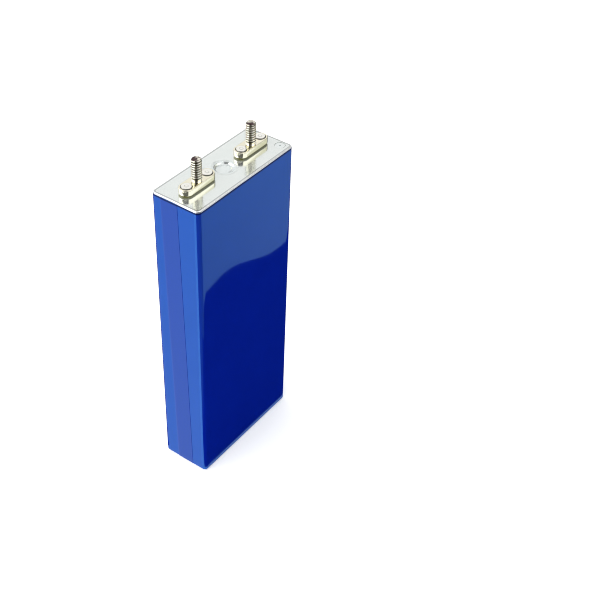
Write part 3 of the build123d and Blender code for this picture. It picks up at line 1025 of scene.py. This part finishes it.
def brighten_along_x(material):
    """The card's light rises a little from left to right."""
    nodes, links = material.node_tree.nodes, material.node_tree.links
    scale = nodes.new("ShaderNodeVectorMath")
    scale.operation = "MULTIPLY"
    scale.inputs[1].default_value = (5.0, 0.0, 0.0)
    links.new(nodes.new("ShaderNodeTexCoord").outputs["Object"], scale.inputs[0])
    ramp = nodes.new("ShaderNodeTexGradient")
    links.new(scale.outputs[0], ramp.inputs["Vector"])
    light = nodes.new("ShaderNodeMapRange")
    light.inputs["From Min"].default_value = 0.25
    light.inputs["To Min"].default_value = 0.50
    light.inputs["To Max"].default_value = 0.70
    links.new(ramp.outputs["Fac"], light.inputs["Value"])
    links.new(light.outputs["Result"], nodes["Principled BSDF"].inputs["Emission Strength"])


def build_dark_strip():
    """Nearly unlit strip behind and over the camera, wide low down and narrow higher up."""
    heading = math.radians(CAMERA_HEADING)
    back = Vector((-math.cos(heading), -math.sin(heading), 0))
    side = Vector((-back.y, back.x, 0))
    upright = Vector((0, 0, 1))
    vertices = []
    for step in range(STRIP_STEPS + 1):
        rise = math.radians(20 + 6.5 * step)
        for edge in STRIP_WIDE if step < 5 else STRIP_NARROW:
            ray = math.cos(rise) * back + math.sin(rise) * upright + edge * side
            vertices.append(Vector((0, 0, LID_TOP)) + STRIP_REACH * ray)
    faces = [(2 * k, 2 * k + 1, 2 * k + 3, 2 * k + 2) for k in range(STRIP_STEPS)]
    strip = add_mesh("unlit_strip", vertices, faces)
    strip.data.materials.append(stage_material("unlit_strip_paint", (0.03, 0.03, 0.03), 0.5, 0.0))
    hide_from_all_but_gloss(strip)


def curved_panel(name, radius, from_heading, to_heading, from_rise, to_rise, colour, strength):
    """Panel round the cell's lid between two headings from +X and two elevations, in degrees."""
    steps = 6
    vertices = []
    for heading in spaced(math.radians(from_heading), math.radians(to_heading), steps):
        for rise in (math.radians(from_rise), math.radians(to_rise)):
            level = math.cos(rise)
            ray = Vector((math.cos(heading) * level, math.sin(heading) * level, math.sin(rise)))
            vertices.append(Vector((0, 0, LID_TOP)) + radius * ray)
    faces = [(2 * k, 2 * k + 1, 2 * k + 3, 2 * k + 2) for k in range(steps)]
    build_card(name, vertices, colour, strength, faces)


FRONT_PANELS = (
    ("front_light_card", -112, -40, (1.0, 1.0, 1.0), 1.7),
    ("front_middle_card", -40, -37.8, (1.0, 1.0, 0.93), 1.3),
    ("front_dim_card", -37.8, -18, (1.0, 1.0, 0.84), 0.97),
)


def build_metal_panels():
    """Panels in front, dimmer and yellower to the right, and a dark one on the right."""
    for name, from_heading, to_heading, colour, strength in FRONT_PANELS:
        curved_panel(name, 800, from_heading, to_heading, 18, 62, colour, strength)
    curved_panel("dark_side_card", 780, -13, 15, 8, 60, (0.03, 0.03, 0.02), 0.5)


def hide_from_all_but_gloss(card):
    """The card is seen in reflections and nowhere else."""
    card.visible_camera = False
    card.visible_diffuse = False
    card.visible_shadow = False
    card.visible_transmission = False


def light_world():
    """Soft studio: bright from the left and above, dim in front, plain white to the camera."""
    world = bpy.data.worlds.new("studio")
    bpy.context.scene.world = world
    world.use_nodes = True
    nodes, links = world.node_tree.nodes, world.node_tree.links
    nodes.clear()
    direction = nodes.new("ShaderNodeTexCoord").outputs["Generated"]

    def lobe(axis, low, high, strength):
        dot = nodes.new("ShaderNodeVectorMath")
        dot.operation = "DOT_PRODUCT"
        dot.inputs[1].default_value = Vector(axis).normalized()
        links.new(direction, dot.inputs[0])
        ramp = nodes.new("ShaderNodeMapRange")
        ramp.interpolation_type = "SMOOTHSTEP"
        for socket, value in zip(ramp.inputs[1:5], (low, high, 0.0, strength)):
            socket.default_value = value
        links.new(dot.outputs["Value"], ramp.inputs["Value"])
        return ramp.outputs["Result"]

    def total(first, second):
        plus = nodes.new("ShaderNodeMath")
        plus.operation = "ADD"
        links.new(first, plus.inputs[0])
        links.new(second, plus.inputs[1])
        return plus.outputs[0]

    left = lobe((-1, 0.35, 0.25), 0.2, 0.95, 1.85)
    above = lobe((0.2, 0.5, 1.0), -0.1, 0.8, 1.0)
    front = lobe((0, -1, 0), -1.0, 1.0, 0.12)
    studio = nodes.new("ShaderNodeBackground")
    links.new(total(total(left, above), front), studio.inputs["Strength"])
    studio.inputs["Color"].default_value = (1, 1, 1, 1)
    plain = nodes.new("ShaderNodeBackground")
    plain.inputs["Color"].default_value = (1, 1, 1, 1)
    plain.inputs["Strength"].default_value = 1.0
    seen = nodes.new("ShaderNodeLightPath").outputs["Is Camera Ray"]
    mixed = nodes.new("ShaderNodeMixShader")
    links.new(seen, mixed.inputs[0])
    links.new(studio.outputs[0], mixed.inputs[1])
    links.new(plain.outputs[0], mixed.inputs[2])
    output = nodes.new("ShaderNodeOutputWorld")
    links.new(mixed.outputs[0], output.inputs[0])


def place_camera():
    """Camera at the picture's viewpoint, slightly rolled."""
    heading, drop = math.radians(CAMERA_HEADING), math.radians(CAMERA_DROP)
    level = math.cos(drop)
    ahead = Vector((level * math.cos(heading), level * math.sin(heading), -math.sin(drop)))
    right = ahead.cross(Vector((0, 0, 1))).normalized()
    up = right.cross(ahead)
    roll = math.radians(CAMERA_ROLL)
    across = math.cos(roll) * right + math.sin(roll) * up
    upward = -math.sin(roll) * right + math.cos(roll) * up
    data = bpy.data.cameras.new("camera")
    data.sensor_width = SENSOR
    data.lens = CAMERA_LENS
    data.clip_start = 0.01
    data.clip_end = 20.0
    camera = bpy.data.objects.new("camera", data)
    turn = Matrix((across, upward, -ahead)).transposed()
    camera.matrix_world = Matrix.Translation(Vector(CAMERA_PLACE) * MM) @ turn.to_4x4()
    bpy.context.scene.collection.objects.link(camera)
    bpy.context.scene.camera = camera


# --- Everything, in order ---

dress_cad_nodes()
build_film_wrap()
build_can()
build_lid_weld()
build_base_pad()
for pole in POLES:
    build_stud(pole)
    build_rivets(pole)
    build_terminal_plate(pole)
    build_gasket(pole)
build_vent()
build_fill_cap()
build_floor()
build_reflection_cards()
build_dark_strip()
build_metal_panels()
light_world()
place_camera()
bpy.context.scene.view_settings.view_transform = "Standard"
bpy.context.scene.cycles.filter_width = 1.0
